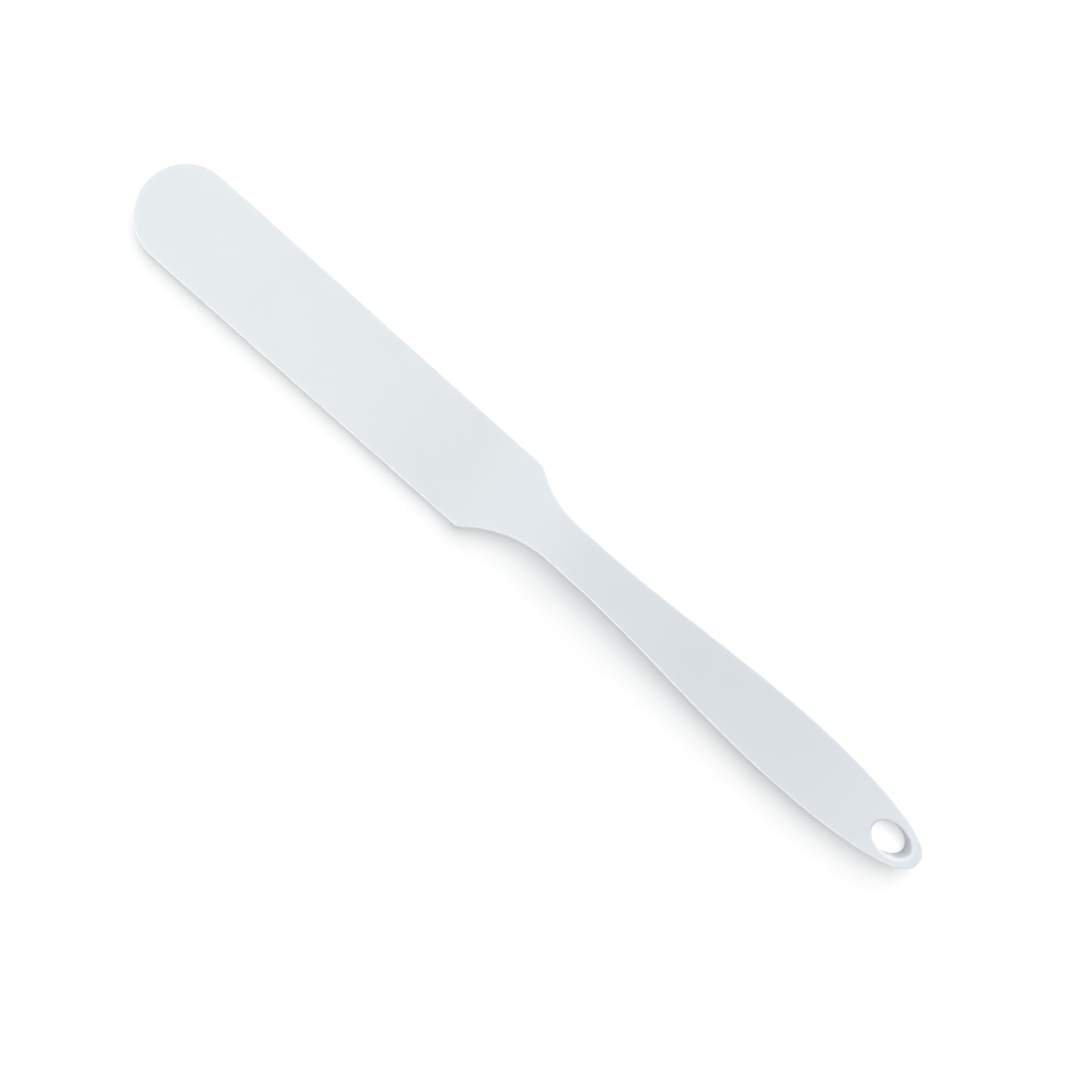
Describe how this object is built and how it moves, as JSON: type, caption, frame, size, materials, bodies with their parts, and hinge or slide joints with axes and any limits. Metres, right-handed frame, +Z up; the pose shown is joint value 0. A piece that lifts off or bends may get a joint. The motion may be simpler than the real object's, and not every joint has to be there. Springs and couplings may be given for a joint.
{
  "type": "kitchen spatula",
  "caption": "Long slim silicone spatula with a flat round-tipped blade, narrow neck and leaf-shaped grip with an oval hanging hole, stiffened inside by a steel strip riveted to a hard core.",
  "frame": {"origin": "on the flat back, under the middle of the spatula's length and of the blade's width", "axes": "+X from the blade's tip to the end of the grip, +Y across the blade towards the side that the grip leans to, +Z up out of the blade's upper face"},
  "size_m": [0.27, 0.028, 0.0084],
  "materials": {
    "silicone": "satin pale blue-grey silicone",
    "spring_steel": "rolled",
    "nylon": "moulded",
    "rivet_steel": "peened"
  },
  "bodies": {
    "root": {"silicone_skin": "silicone", "blade_strip": "spring_steel", "handle_core": "nylon", "core_rivets": "rivet_steel"}
  },
  "joints": []
}
